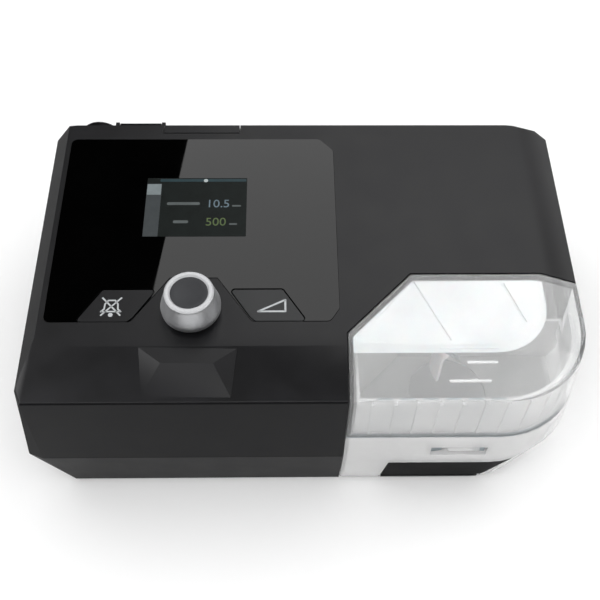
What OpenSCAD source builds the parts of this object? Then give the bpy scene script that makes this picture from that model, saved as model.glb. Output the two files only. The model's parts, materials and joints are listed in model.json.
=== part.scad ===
// Bedside breathing-therapy machine with a built-in heated humidifier chamber.
// Left half: display, knob and two buttons. Right front corner: the slide-out water chamber.
// Drawn with x = 0 at the middle, y = 0 at the front wall and z = 0 at the table.

/* [Case] */
// Width across the belt line, where the deck bevels meet the side walls
belt_w = 265; // [255:1:285]
// Depth from the front wall to the back wall
case_d = 166; // [162:1:182]
// Height of the flat deck above the table
deck_z = 106.4; // [104:0.2:114]
// Drop from the deck to the belt line
belt_drop = 8.3; // [7:0.1:10]
// Height of the lower crease, where the two case halves meet
crease_z = 40; // [38:1:44]
// How far each side wall stands out at the lower crease, past the belt
flare = 5.5; // [4:0.5:7]
// Front bevel, seen from above
front_bevel = 25.2; // [22:0.2:27]
// Right bevel, seen from above
right_bevel = 19.5; // [17:0.5:21]
// Left bevel, seen from above
left_bevel = 7.8; // [7:0.2:9]
// Back bevel, seen from above
back_bevel = 3.6; // [3:0.2:5]
// How far each side is drawn in at the base, from the crease
base_side = 12; // [9:0.5:13]
// How far the front and back are drawn in at the base
base_end = 5; // [4:0.5:6]
// Corner radius of the front right corner at the belt
corner_r = 42; // [38:1:44]
// Corner radius of the front right corner on the deck
deck_corner_r = 26; // [22:1:28]
// Wall thickness of the case
wall = 2.5; // [2.2:0.1:2.8]
// Height of the rubber feet
foot_h = 2; // [1.5:0.5:3]

/* [Control panel] */
// Gap from the left side wall to the panel
panel_side = 10.5; // [10.5:0.5:12]
// Gap between the panel and the chamber bay
panel_bay_gap = 2.9; // [2.5:0.1:6]
// Front edge of the panel from the front wall
panel_front = 38.2; // [37:0.2:40]
// Gap from the panel's back edge to the back wall
panel_back = 14; // [13.8:0.2:18]
// Thickness of the panel
panel_t = 1.2; // [1:0.1:1.4]
// How far the panel stands above the deck
panel_proud = 0.3; // [0.1:0.1:0.5]
// Width of the display's lit area
display_w = 48.96; // [46:0.02:52]
// Depth of the display's lit area
display_d = 36.72; // [34:0.02:38]
// Middle of the display from the middle of the machine
display_x = -54.6; // [-58:0.2:-52]
// Middle of the display from the front wall
display_y = 105.6; // [103:0.2:107]

/* [Knob and buttons] */
// Middle of the knob from the middle of the machine
knob_x = -53.6; // [-56:0.2:-50]
// Middle of the knob from the front wall
knob_y = 44.2; // [43:0.2:46]
// Radius of the knob's skirt
knob_r = 14; // [13:0.2:15]
// Radius of the knob's top rim
knob_top_r = 11.4; // [10.5:0.1:12]
// Height of the knob's rim above the deck
knob_h = 16; // [14:0.5:18]
// Radius of the dark insert in the knob
insert_r = 8.7; // [8:0.1:9]
// Radius of the encoder's shaft
shaft_r = 3; // [2.5:0.1:3]
// How far the knob presses
knob_press = 0.8; // [0.4:0.1:1]
// How far the buttons press
button_press = 0.6; // [0.4:0.1:0.8]
// Gap round each button
button_gap = 0.4; // [0.3:0.05:0.6]

/* [Humidifier] */
// Width of the chamber bay, from the right side wall
bay_w = 114.1; // [110.5:0.1:114.5]
// Where the bay's left side ends, from the front wall
bay_side_l = 32.1; // [30:0.5:34]
// Sideways reach of the bay's slanted side
bay_slant_w = 31.6; // [28:0.5:34]
// Back of the bay from the front wall
bay_d = 65.2; // [64:0.2:68]
// Gap between the chamber and the bay
seam_gap = 0.5; // [0.3:0.1:0.8]
// Wall thickness of the clear chamber
clear_t = 2; // [1.6:0.1:2.2]
// Height of the tub's rim flange
rim_z = 61; // [60:0.5:63]
// Height of the splash collar inside the lid
collar_z = 92; // [90:0.5:94]
// Height of the platform that carries the chamber
platform_z = 28; // [26:0.5:29]
// Radius of the heater plate
heater_r = 20; // [18:0.5:20.5]
// Middle of the heater from the right side wall
heater_side = 56.5; // [55.5:0.5:57.5]
// Middle of the heater from the back of the bay
heater_back = 25.2; // [24.8:0.2:26]
// How far the heater plate gives under the tub
heater_float = 1.2; // [0.8:0.1:1.5]
// Spacing of the stiffening ribs on the splash collar
rib_pitch = 10.5; // [9.5:0.5:14]
// Reach of the latch bar's top to the left of the heater's middle
latch_reach_l = 33; // [30:0.5:35]
// Reach of the latch bar's top to the right of the heater's middle
latch_reach_r = 30; // [29:0.5:33]

/* [Air path] */
// Radius of the air outlet, the 22 mm hose size of breathing tubes
outlet_r = 11; // [11:0.1:11.2]
// How far the air outlet stands out behind the back wall
outlet_reach = 14; // [13:0.5:22]
// Middle of the air outlet from the left side wall
outlet_side = 19; // [19:0.5:19.5]
// Height of the outlet and of the ports between case and chamber
port_z = 80; // [79:0.5:81]
// Radius of the two ports in the chamber lid
port_r = 8; // [7:0.5:8]
// Middle of the inlet port from the right side wall
inlet_side = 60.5; // [58.5:0.5:62.5]
// Middle of the return port from the right side wall
return_side = 28.5; // [28.5:0.5:30.5]
// Outer radius of the ducts
duct_r = 10; // [9.5:0.5:10.5]
// Wall thickness of the ducts
duct_t = 1.6; // [1.2:0.1:1.8]
// Outer radius of the blower housing
blower_r = 36; // [34:0.5:37]
// Middle of the blower from the left side wall
blower_side = 70.5; // [68.5:0.5:72.5]
// Middle of the blower from the back wall
blower_back = 86; // [84:0.5:88]
// Height of the blower housing
blower_h = 26; // [24:0.5:28]
// Radius of the impeller
impeller_r = 26; // [24:0.5:27]
// Number of blades on the impeller
blade_count = 11; // [9:1:15]

/* [Back] */
// Width of the filter cover
cover_w = 40; // [38:0.5:42]
// Left edge of the filter cover from the left side wall
cover_side = 58.5; // [56.5:0.5:59.5]
// Width of the cover over the data port
port_cover_w = 22; // [20:0.5:22.5]
// Middle of the port cover from the left side wall
port_cover_side = 44.5; // [44.5:0.5:45]
// Width of the memory card
card_w = 24; // [24:0.5:24.5]

/* [Hidden] */
$fn = 48;

// Levels of the outer form
base_x = belt_w/2 + flare - base_side;
crease_x = belt_w/2 + flare;
belt_x = belt_w/2;
belt_z = deck_z - belt_drop;
deck_left = -belt_x + left_bevel;
deck_right = belt_x - right_bevel;
deck_back = case_d - back_bevel;
corner_steps = 10;
base_cut = [4, 4];
crease_cut = [7.2, 2.5];
belt_cut = [3.3, 7];
deck_cut = [5.3, 4.7];
back_cut = [5, 6.5];
deck_back_cut = [4, 0.5];
far = 400;
touch = 0.3;
skin = 0.01;

// Places measured from the side walls, the back wall and the bay
bay_left = belt_x - bay_w;
heater_x = belt_x - heater_side;
heater_y = bay_d - heater_back;
inlet_x = belt_x - inlet_side;
return_x = belt_x - return_side;
outlet_x = -belt_x + outlet_side;
port_cover_x = -belt_x + port_cover_side;
cover_x = -belt_x + cover_side + cover_w/2;
blower_x = -belt_x + blower_side;
blower_y = case_d - blower_back;
panel_left = -belt_x + panel_side;
panel_w = bay_left - panel_bay_gap - panel_left;
panel_l = case_d - panel_back - panel_front;

// Chamber
tub_floor_z = platform_z + touch;
skirt_z = foot_h + 1;
lid_z = rim_z + 1;
flange_t = 2;
collar_in = clear_t + 1.8;
collar_t = 1.5;
back_collar_z = port_z - port_r - 0.5;
slant_angle = atan2(bay_d - bay_side_l, bay_slant_w);
plate_r = heater_r + 2;
grip_w = 28;
grip_z = 46;
latch_base_z = foot_h + 3.2;
sill_z = foot_h + 1.8;
latch_left = heater_x - latch_reach_l;
latch_right = heater_x + latch_reach_r;
latch_lean_l = 0.1;
latch_lean_r = 0.52;
latch_deep = heater_y - heater_r - 6;
latch_drop = 0.9;
latch_arm_z = platform_z - 7;
latch_arm_t = 4.2;
latch_pivot_y = heater_y - 4;
latch_pivot_z = latch_arm_z + latch_arm_t/2;
latch_pin_r = 1.5;

// Deck parts
panel_z = deck_z + panel_proud - panel_t;
display_z = deck_z - wall - 0.2;
board_z = deck_z - 16;
board_t = 1.6;
board_left = -belt_x + 20.5;
board_right = bay_left - 10.4;
board_front = panel_front - 2.2;
board_back = case_d - 41;
knob_base_z = deck_z + knob_press + 0.7;
podium_top = [[-23.3, 24.7], [-12.8, 16.3], [11, 16.2], [21.6, 23.6]];
podium_foot = [[-21.4, 3], [-13.3, 4], [12.5, 3.9], [19, 2.6]];
notch_foot = 28.2;
notch_top = 11.4;
notch_d = 24.6;
button_shape = [[17.2, 56.1], [42.5, 56.1], [53.7, 38.2], [30, 38.2], [27.4, 40.4]];
switch_x = 36;
switch_y = 47;
switch_h = 4.3;

// Ducts
duct_y = case_d - 24;
blower_z = foot_h + wall + 13;
mount_angles = [45:90:315];
mount_reach = blower_r + 5;
volute_out_y = blower_y + blower_r - duct_r;
outlet_start_y = duct_y + duct_r + 3;
outlet_root = 0.6;
overall_d = case_d + outlet_reach;
filter_z0 = 18;
filter_top = 64;
filter_w = 34;
cover_z0 = 22;
cover_t = 3;
cover_barrel_r = 3.2;
screw_side = 13.5;
screw_spots = [[-belt_x + screw_side, 26], [-belt_x + screw_side, case_d - 48],
    [belt_x - screw_side - 1, case_d - 18], [bay_left - 12.4, 20]];
screw_r = 1.5;
foot_side = 26.5;

// ---- outlines and forms ----

function quarter(cx, cy, rx, ry) =
    [for (i = [0:corner_steps]) let (a = -90 + 90*i/corner_steps) [cx + rx*cos(a), cy + ry*sin(a)]];

function ring(xl, xr, yf, yb, cut, r, back) = concat(
    [[xl, yf + cut[1]], [xl + cut[0], yf]],
    quarter(xr - r, yf + r, r, r),
    [[xr, yb - back[1]], [xr - back[0], yb], [xl + back[0], yb], [xl, yb - back[1]]]);

function levels(i) = [
    [foot_h + i, ring(-base_x + i, base_x - i, base_end + i, case_d - base_end - i,
        base_cut, corner_r - 5 - i, back_cut)],
    [crease_z, ring(-crease_x + i, crease_x - i, i, case_d - i, crease_cut, corner_r - i, back_cut)],
    [belt_z - i, ring(-belt_x + i, belt_x - i, i, case_d - i, belt_cut, corner_r - i, back_cut)],
    [deck_z - i, ring(deck_left + i, deck_right - i, front_bevel + i, deck_back - i,
        deck_cut, deck_corner_r - i, deck_back_cut)]];

// Closed skin through rings of points, each [height, ring], from the bottom up
module loft(rings) {
    n = len(rings[0][1]);
    top = len(rings) - 1;
    polyhedron(
        points = [for (l = rings) for (p = l[1]) [p[0], p[1], l[0]]],
        faces = concat(
            [[for (k = [0:n - 1]) k]],
            [[for (k = [0:n - 1]) (top + 1)*n - 1 - k]],
            [for (j = [0:top - 1]) for (k = [0:n - 1]) let (m = (k + 1) % n)
                [(j + 1)*n + k, (j + 1)*n + m, j*n + m]],
            [for (j = [0:top - 1]) for (k = [0:n - 1]) let (m = (k + 1) % n)
                [(j + 1)*n + k, j*n + m, j*n + k]]));
}

// The machine's outer form, drawn in by i all round
module form(i = 0) {
    loft(levels(i));
}

// The same, and straight down below its base
module open_form(i) {
    loft(concat([[-1, levels(i)[0][1]]], levels(i)));
}

// Plan of the chamber bay, drawn in by g
function bay_plan(g) =
    let (s = sin(slant_angle), c = cos(slant_angle))
    [[bay_left + g, -far], [bay_left + g, bay_side_l - g*(1 - s)/c],
     [bay_left + bay_slant_w + g*(1 - c)/s, bay_d - g], [far, bay_d - g], [far, -far]];

module bay_prism(g, z0, z1) {
    translate([0, 0, z0]) linear_extrude(z1 - z0) polygon(bay_plan(g));
}

module slab(x0, x1, y0, y1, z0, z1) {
    translate([x0, y0, z0]) cube([x1 - x0, y1 - y0, z1 - z0]);
}

module post(x, y, z0, z1, r) {
    translate([x, y, z0]) cylinder(r = r, h = z1 - z0);
}

module tube(x, y, z0, z1, r, bore) {
    difference() {
        post(x, y, z0, z1, r);
        post(x, y, z0 - 1, z1 + 1, bore);
    }
}

// Round bar along x or along y
module bar_x(x0, x1, y, z, r) {
    translate([x0, y, z]) rotate([0, 90, 0]) cylinder(r = r, h = x1 - x0);
}

module bar_y(x, y0, y1, z, r) {
    translate([x, y0, z]) rotate([-90, 0, 0]) cylinder(r = r, h = y1 - y0);
}

module rounded(r) {
    offset(r = r, $fn = 32) offset(delta = -r) children();
}

module panel_outline() {
    rounded(3) difference() {
        polygon([[panel_left, panel_front], [panel_left + panel_w - 4.5, panel_front],
            [panel_left + panel_w, panel_front + 7], [panel_left + panel_w, panel_front + panel_l - 8],
            [panel_left + panel_w - 7, panel_front + panel_l], [panel_left + 2, panel_front + panel_l],
            [panel_left, panel_front + panel_l - 2]]);
        polygon([[knob_x - notch_foot, panel_front - 1], [knob_x - notch_foot, panel_front],
            [knob_x - notch_top, panel_front + notch_d], [knob_x + notch_top, panel_front + notch_d],
            [knob_x + notch_foot, panel_front], [knob_x + notch_foot, panel_front - 1]]);
    }
}

// Right button outline, with side = -1 for the left one, grown by g
module button_outline(side, g) {
    translate([knob_x, 0]) scale([side, 1]) offset(delta = g) rounded(1.5)
        polygon([for (p = button_shape) [p[0], p[1] + panel_front - 38.2]]);
}

module podium() {
    hull() {
        translate([knob_x, 0, deck_z - skin]) linear_extrude(skin) polygon(podium_top);
        translate([knob_x, 0, belt_z + 0.9]) linear_extrude(skin) polygon(podium_foot);
        translate([knob_x, 0, belt_z - wall])
            linear_extrude(skin) polygon([[-21, 6], [19, 6], [21.4, 25.2], [-23.2, 25.2]]);
    }
}

// ---- case ----

module top_case() {
    color("#26272a") difference() {
        union() {
            port_ears();
            difference() {
                union() {
                    intersection() {
                        form();
                        slab(-far, far, -far, far, crease_z, far);
                    }
                    podium();
                }
                form(wall);
            }
            intersection() {
                form(wall/2);
                for (s = screw_spots) tube(s[0], s[1], crease_z + touch, deck_z, 3.6, 1.6);
            }
            for (s = board_spots()) tube(s[0], s[1], board_z + board_t, deck_z - wall + 1, 3, 1.05);
            tube(knob_x, knob_y, deck_z - 6, deck_z - wall + 1, 6, 3.7);
        }
        bay_prism(0, 0, far);
        translate([0, 0, panel_z - 0.1]) linear_extrude(10) offset(delta = 0.15) panel_outline();
        slab(display_x - display_w/2 - 1, display_x + display_w/2 + 1,
            display_y - display_d/2 - 1, display_y + display_d/2 + 1, deck_z - 10, deck_z + 10);
        for (side = [-1, 1]) translate([0, 0, deck_z - 10]) linear_extrude(20)
            button_outline(side, 0.1);
        post(knob_x, knob_y, deck_z - 20, deck_z + 5, 3.7);
        bar_y(outlet_x, case_d - wall - 2, case_d + 1, port_z, outlet_r + outlet_root + 0.3);
        filter_window();
        port_window();
        card_window();
        jack_window();
        for (i = [0:9]) slab(30 + 8*i, 33 + 8*i, case_d - wall - 2, case_d + 1, 54, 74);
    }
}

// Wall of the humidifier bay, with the two port openings, between floor and deck
module bay_liner() {
    color("#202124") difference() {
        intersection() {
            form(wall);
            bay_prism(-wall, foot_h + wall, far);
        }
        bay_prism(0, 0, far);
        for (x = [inlet_x, return_x]) bar_y(x, bay_d - 1, bay_d + wall + 1, port_z, port_r + 2.4);
    }
}

module filter_window() {
    gap = 0.4;
    slab(cover_x - cover_w/2 - gap, cover_x + cover_w/2 + gap, case_d - 9.5, case_d + 1,
        deck_z - wall - 0.6, deck_z + 1);
    slab(cover_x - cover_w/2 - gap, cover_x + cover_w/2 + gap, case_d - 9.5, case_d + 1,
        cover_z0 - gap, deck_z + 1);
}

// Ears that hold the ends of the filter cover's hinge pin
module filter_ears() {
    for (side = [-1, 1]) difference() {
        translate([cover_x + side*(cover_w/2 + 2.2), 0, 0])
            slab(-1.8, 1.8, cover_pivot_y() - 3, case_d - 3.4, cover_pivot_z() - 3, cover_pivot_z() + 3);
        bar_x(-far, far, cover_pivot_y(), cover_pivot_z(), 1.05);
    }
}

// Ears that hold the ends of the port cover's hinge pin
module port_ears() {
    for (side = [-1, 1]) difference() {
        translate([port_cover_x + side*(port_cover_w/2 + 1.4), 0, 0])
            slab(-1, 1, case_d - 1, case_d + 3.4, port_cover_z1() - 4.4, port_cover_z1());
        bar_x(-far, far, port_pivot_y(), port_pivot_z(), 0.8);
    }
}

module port_window() {
    gap = 0.4;
    slab(port_cover_x - port_cover_w/2 - gap, port_cover_x + port_cover_w/2 + gap,
        case_d - 1 - gap, case_d + 1, port_cover_z0() - gap, port_cover_z1() + gap);
    slab(port_cover_x - 7, port_cover_x + 7, case_d - wall - 1, case_d,
        port_cover_z0() + 7, port_cover_z0() + 15);
}

module card_window() {
    slab(port_cover_x - card_w/2 - 0.5, port_cover_x + card_w/2 + 0.5, case_d - wall - 1, case_d + 1,
        card_z() - 0.5, card_z() + 2.6);
}

module jack_window() {
    bar_y(jack_x(), case_d - wall - 3, case_d + 1, jack_z(), 5.2);
}

module bottom_case() {
    color("#232427") {
        difference() {
            union() {
                difference() {
                    intersection() {
                        form();
                        slab(-far, far, -far, far, 0, crease_z);
                    }
                    form(wall);
                }
                for (s = screw_spots) post(s[0], s[1], foot_h + 1, crease_z, 3.6);
                for (s = mount_spots()) post(s[0], s[1], foot_h + 1, blower_z - 5, 3);
            }
            bay_prism(0, 0, far);
            for (s = screw_spots) post(s[0], s[1], 0, foot_h + 5, 3.2);
            for (s = screw_spots) post(s[0], s[1], 0, crease_z + 1, 1.6);
            for (s = foot_spots()) post(s[0], s[1], 0, foot_h + 1.2, 4);
            filter_window();
            jack_window();
            bar_x(cover_x - cover_w/2 - 4, cover_x + cover_w/2 + 4, cover_pivot_y(), cover_pivot_z(), 1.05);
        }
        filter_ears();
    }
}

// Hollow platform in the bay, with the sill under the latch bar
module chamber_platform() {
    skirt_in = clear_t + seam_gap + 0.2;
    roof = 2.2;
    color("#232427") difference() {
        union() {
            intersection() {
                open_form(skirt_in);
                bay_prism(0, foot_h, platform_z);
                slab(bay_left + skirt_in, far, latch_deep + 1, far, 0, platform_z);
            }
            intersection() {
                form();
                slab(latch_end(-1, skirt_z) + 0.4, latch_end(1, skirt_z) - 0.4,
                    0, latch_deep + 2, 0, sill_z);
            }
        }
        difference() {
            intersection() {
                open_form(skirt_in + 2);
                slab(bay_left + skirt_in + 2, far, latch_deep + 3.6, bay_d + wall,
                    foot_h + 2, platform_z - roof);
            }
            tube(heater_x, heater_y, 0, far, heater_r + 3, heater_r + 1);
            for (s = [-1, 1]) slab(latch_arm_x(s) - 5.6, latch_arm_x(s) + 5.6,
                latch_pivot_y - 3, latch_pivot_y + 3, 0, far);
        }
        post(heater_x, heater_y, foot_h + 2, far, heater_r + 0.4);
        for (s = [-1, 1]) slab(latch_arm_x(s) - 3, latch_arm_x(s) + 3, 0, latch_pivot_y + 4,
            sill_z, platform_z - roof);
        for (s = [-1, 1]) bar_x(latch_arm_x(s) - 5.2, latch_arm_x(s) + 5.2, latch_pivot_y, latch_pivot_z,
            latch_pin_r + 0.05);
        for (s = foot_spots()) post(s[0], s[1], 0, foot_h + 1.2, 4);
    }
}

module rubber_feet() {
    color("#3a3a3a") for (s = foot_spots()) {
        post(s[0], s[1], 0, foot_h, 6);
        post(s[0], s[1], foot_h, foot_h + 1, 3.8);
    }
}

module case_screws() {
    color("silver") for (s = screw_spots) {
        post(s[0], s[1], foot_h + 2.2, foot_h + 5, 2.8);
        post(s[0], s[1], foot_h + 5, crease_z + 12, screw_r);
    }
}

// ---- places that several pieces share ----

function foot_spots() = [[-belt_x + foot_side, 18], [-belt_x + foot_side, case_d - 20],
    [belt_x - foot_side, case_d - 20], [heater_x + 20, 26]];
function board_spots() = [[board_left + 5, board_front + 5], [board_right - 5, board_front + 5],
    [board_left + 5, board_back - 5], [board_right - 5, board_back - 5]];
function mount_spots() =
    [for (a = mount_angles) [blower_x + mount_reach*cos(a), blower_y + mount_reach*sin(a)]];
function latch_arm_x(side) = heater_x + side*(heater_r + 6.5);
function latch_end(side, z) = side < 0 ? latch_left - (platform_z - z)*latch_lean_l
    : latch_right - (platform_z - z)*latch_lean_r;
function port_cover_z0() = port_z - 2;
function port_cover_z1() = deck_z - 5;
function port_pivot_y() = case_d + 1.4;
function port_pivot_z() = port_cover_z1() - 1.8;
function cover_pivot_y() =
    case_d - base_end*(crease_z - cover_pivot_z())/(crease_z - foot_h) - cover_barrel_r;
function cover_pivot_z() = cover_z0 + cover_barrel_r - 0.2;
function card_z() = port_z - 20;
function jack_x() = outlet_x + 2;
function jack_z() = crease_z + 10;

// ---- control panel, display and board ----

module control_panel() {
    color("#0a0b0c") translate([0, 0, panel_z]) linear_extrude(panel_t) difference() {
        panel_outline();
        for (side = [-1, 1]) button_outline(side, button_gap);
    }
}

module display_module() {
    color("#101418") translate([display_x, display_y, display_z - 1.6])
        translate([-display_w/2 - 3, -display_d/2 - 3, -1.4]) cube([display_w + 6, display_d + 6, 3]);
}

module display_frame() {
    x0 = display_x - display_w/2 - 6;
    x1 = display_x + display_w/2 + 6;
    y0 = display_y - display_d/2 - 6;
    y1 = display_y + display_d/2 + 6;
    color("#d8d8d4") difference() {
        slab(x0, x1, y0, y1, board_z + board_t, display_z);
        slab(x0 + 2.8, x1 - 2.8, y0 + 2.8, y1 - 2.8, display_z - 3.1, far);
        slab(x0 + 6, x1 - 6, y0 + 6, y1 - 6, 0, far);
    }
}

module main_board() {
    color("#1d5a34") difference() {
        union() {
            slab(board_left, board_right, board_front, board_back, board_z, board_z + board_t);
            slab(board_right - 24, board_right - 10, board_front + 28, board_front + 42,
                board_z + board_t, board_z + board_t + 1.6);
            slab(board_right - 12, board_right - 2, board_back - 31, board_back - 13,
                board_z + board_t, board_z + board_t + 2.4);
            slab(board_left + 4, board_left + 12, board_front + 26, board_front + 44,
                board_z + board_t, board_z + board_t + 1.2);
        }
        for (s = board_spots()) post(s[0], s[1], 0, far, 1.25);
    }
}

module board_screws() {
    color("silver") for (s = board_spots()) {
        post(s[0], s[1], board_z - 1.8, board_z, 2.4);
        post(s[0], s[1], board_z, board_z + 8, 1);
    }
}

module push_switches() {
    color("#2b2b2b") for (side = [-1, 1]) translate([knob_x + side*switch_x, switch_y, board_z + board_t]) {
        translate([-3, -3, 0]) cube([6, 6, 3.4]);
        cylinder(r = 1.7, h = switch_h);
    }
}

module buzzer() {
    x = board_left + 7;
    y = board_back - 21;
    color("#202020") difference() {
        post(x, y, board_z + board_t, board_z + board_t + 6, 6);
        post(x, y, board_z + board_t + 5, far, 1.2);
    }
}

module encoder_body() {
    z0 = board_z + board_t;
    color("#8f8f93") difference() {
        union() {
            slab(knob_x - 6, knob_x + 6, knob_y - 6, knob_y + 6, z0, z0 + 6.6);
            post(knob_x, knob_y, z0, deck_z - 0.5, 3.55);
        }
        post(knob_x, knob_y, z0 + 1, z0 + 5, 5.2);
        post(knob_x, knob_y, z0 + 1, far, shaft_r + 0.06);
    }
}

module encoder_rotor() {
    z0 = board_z + board_t;
    color("#e8e4d8") difference() {
        post(knob_x, knob_y, z0 + 2.6, z0 + 4.7, 4.9);
        slab(knob_x - shaft_r, knob_x + shaft_r, knob_y - 1.3, knob_y + 1.3, 0, far);
    }
}

module encoder_shaft() {
    z0 = board_z + board_t;
    color("#c0c0c4") {
        post(knob_x, knob_y, z0 + 5.6, deck_z + 11, shaft_r);
        slab(knob_x - shaft_r + 0.4, knob_x + shaft_r - 0.4, knob_y - 1.2, knob_y + 1.2,
            z0 + 2.2, z0 + 5.6);
    }
}

module knob_body() {
    z0 = knob_base_z;
    z1 = deck_z + knob_h;
    color("#c9cacc") difference() {
        translate([knob_x, knob_y, 0]) rotate_extrude() polygon([[0, z0], [knob_r - 1.2, z0],
            [knob_r - 0.2, z0 + 1.6], [knob_r, deck_z + 5.5], [knob_r - 0.8, deck_z + 8.5],
            [knob_top_r + 0.2, z1 - 2], [knob_top_r, z1 - 0.6], [knob_top_r - 0.6, z1],
            [insert_r + 0.7, z1], [insert_r, z1 - 0.8], [insert_r, z1 - 3], [0, z1 - 3]]);
        post(knob_x, knob_y, 0, deck_z + 11.2, shaft_r + 0.05);
        tube(knob_x, knob_y, z0 - 1, z0 + 5, knob_r - 3, shaft_r + 3);
    }
}

module knob_insert() {
    z1 = deck_z + knob_h;
    color("#34353a") difference() {
        post(knob_x, knob_y, z1 - 3, z1 - 0.9, insert_r - 0.05);
        translate([knob_x, knob_y, z1 - 0.9 + 60 - 0.5]) sphere(r = 60, $fn = 96);
    }
}

module button(side) {
    top = deck_z + panel_proud - 0.1;
    translate([0, 0, top - 2.4]) linear_extrude(2.4) button_outline(side, 0);
    stem_z = board_z + board_t + switch_h + button_press + 0.1;
    post(knob_x + side*switch_x, switch_y, stem_z, top - 2.3, 2.6);
}

module mute_button() {
    color("#26272a") button(-1);
}

module ramp_button() {
    color("#4a4b4e") button(1);
}

// ---- humidifier chamber ----

module chamber_tub() {
    color("#dfe6ea") {
        difference() {
            union() {
                difference() {
                    intersection() {
                        form();
                        bay_prism(seam_gap, skirt_z, rim_z);
                    }
                    intersection() {
                        form(clear_t);
                        bay_prism(seam_gap + clear_t, tub_floor_z + clear_t, rim_z + 1);
                    }
                }
                tub_flange();
                grip_block();
            }
            intersection() {
                open_form(clear_t);
                slab(bay_left + seam_gap + clear_t, far, -far, far, 0, tub_floor_z);
            }
            latch_cut();
            post(heater_x, heater_y, 0, tub_floor_z + clear_t + 1, plate_r - 1.5);
            post(heater_x, heater_y, 0, tub_floor_z + 1.2, plate_r + 0.05);
            slab(heater_x - grip_w/2, heater_x + grip_w/2, -1, 6, grip_z - 5, grip_z + 3.5);
        }
        collar_ribs();
    }
}

// Pocket behind the finger grip, closed towards the water
module grip_block() {
    intersection() {
        form();
        slab(heater_x - grip_w/2 - 2, heater_x + grip_w/2 + 2, 0, 8, grip_z - 7, grip_z + 5.5);
    }
}

module tub_flange() {
    difference() {
        union() {
            intersection() {
                form();
                bay_prism(seam_gap, rim_z - flange_t, rim_z);
            }
            intersection() {
                form(collar_in);
                bay_prism(seam_gap + collar_in, rim_z - flange_t, collar_z);
            }
        }
        intersection() {
            form(collar_in + collar_t);
            bay_prism(seam_gap + collar_in + collar_t, 0, far);
        }
        slab(-far, far, bay_d - 14, far, back_collar_z, far);
    }
}

module collar_ribs() {
    rib_w = 1.4;
    first = bay_left + 11;
    arc_x = belt_x - corner_r + 1.8;
    arc_r = corner_r - collar_in;
    last = first + rib_pitch*floor((arc_x - first)/rib_pitch);
    degrees_per_mm = 180/PI/arc_r;
    last_angle = 60;
    for (x = [first:rib_pitch:last])
        slab(x, x + rib_w, collar_in - 1.1, collar_in + 0.3, rim_z, collar_z - 1);
    for (a = [(last + rib_pitch + rib_w/2 - arc_x)*degrees_per_mm:rib_pitch*degrees_per_mm:last_angle])
        translate([arc_x, corner_r, rim_z]) rotate([0, 0, a - 90])
            translate([arc_r - 0.6, -rib_w/2, 0]) cube([1.2, rib_w, collar_z - rim_z - 1]);
}

module latch_cut() {
    room = 0.4 + latch_drop*latch_lean_r;
    translate([0, latch_deep + 1, 0]) rotate([90, 0, 0]) linear_extrude(far)
        polygon([[latch_end(-1, 0) - 0.4, 0], [latch_end(-1, tub_floor_z) - 0.4, tub_floor_z],
            [latch_end(1, tub_floor_z) + room, tub_floor_z], [latch_end(1, 0) + room, 0]]);
}

module chamber_lid() {
    color("#eef2f4") difference() {
        intersection() {
            form();
            bay_prism(seam_gap, lid_z, far);
        }
        intersection() {
            form(clear_t);
            bay_prism(seam_gap + clear_t, 0, far);
        }
        for (x = [inlet_x, return_x]) bar_y(x, bay_d - clear_t - 3, bay_d + 1, port_z, port_r);
    }
}

module chamber_gasket() {
    color("#9fb4bf") difference() {
        intersection() {
            form(0.3);
            bay_prism(seam_gap + 0.3, rim_z, lid_z);
        }
        intersection() {
            form(collar_in - 1.2);
            bay_prism(seam_gap + collar_in - 1.2, 0, far);
        }
    }
}

// White plate under the lid with the two walls that steer the air
module chamber_baffle() {
    rim = clear_t + 0.4;
    top = deck_z - clear_t - touch;
    inner = collar_in + collar_t + 1;
    front = front_bevel + clear_t + 1;
    color("white") {
        intersection() {
            form(rim);
            bay_prism(seam_gap + rim, top - 1.6, top);
        }
        intersection() {
            union() {
                form(inner);
                intersection() {
                    form(rim + 1);
                    slab(-far, far, -far, far, collar_z + 1, far);
                }
            }
            bay_prism(seam_gap + inner, rim_z + 5, top - 1.2);
            union() {
                baffle_wall([bay_left + bay_slant_w + 1.5, bay_d - 4], [heater_x - 11, front]);
                baffle_wall([heater_x + 17, bay_d - 5], [heater_x + 26, front + 9]);
            }
        }
        post(heater_x - 11, front + 1, top - 14, top - 1, 2.6);
    }
}

module baffle_wall(a, b) {
    run = norm(b - a);
    translate([a[0], a[1], rim_z]) rotate([0, 0, atan2(b[1] - a[1], b[0] - a[0])])
        translate([0, -0.8, 0]) cube([run, 1.6, deck_z - rim_z]);
}

module tub_plate() {
    color("#b9bcc0") post(heater_x, heater_y, tub_floor_z, tub_floor_z + 1.2, plate_r);
}

module heater_plate() {
    color("#c8c9cb") post(heater_x, heater_y, platform_z - 2.4, platform_z, heater_r);
}

module heating_film() {
    color("#b0671f") difference() {
        post(heater_x, heater_y, platform_z - 3, platform_z - 2.4, heater_r - 1);
        post(heater_x, heater_y, 0, far, 3);
    }
}

function spring_spots() = [for (a = [90:120:330]) [heater_x + 14*cos(a), heater_y + 14*sin(a)]];

module heater_springs() {
    color("silver") for (s = spring_spots())
        tube(s[0], s[1], foot_h + 4.5, platform_z - 3, 2.6, 2);
}

module heater_holder() {
    color("#57585c") difference() {
        post(heater_x, heater_y, foot_h + 2, platform_z - heater_float - 3.6, heater_r);
        post(heater_x, heater_y, foot_h + 4.5, far, heater_r - 1.5);
    }
}

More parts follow.
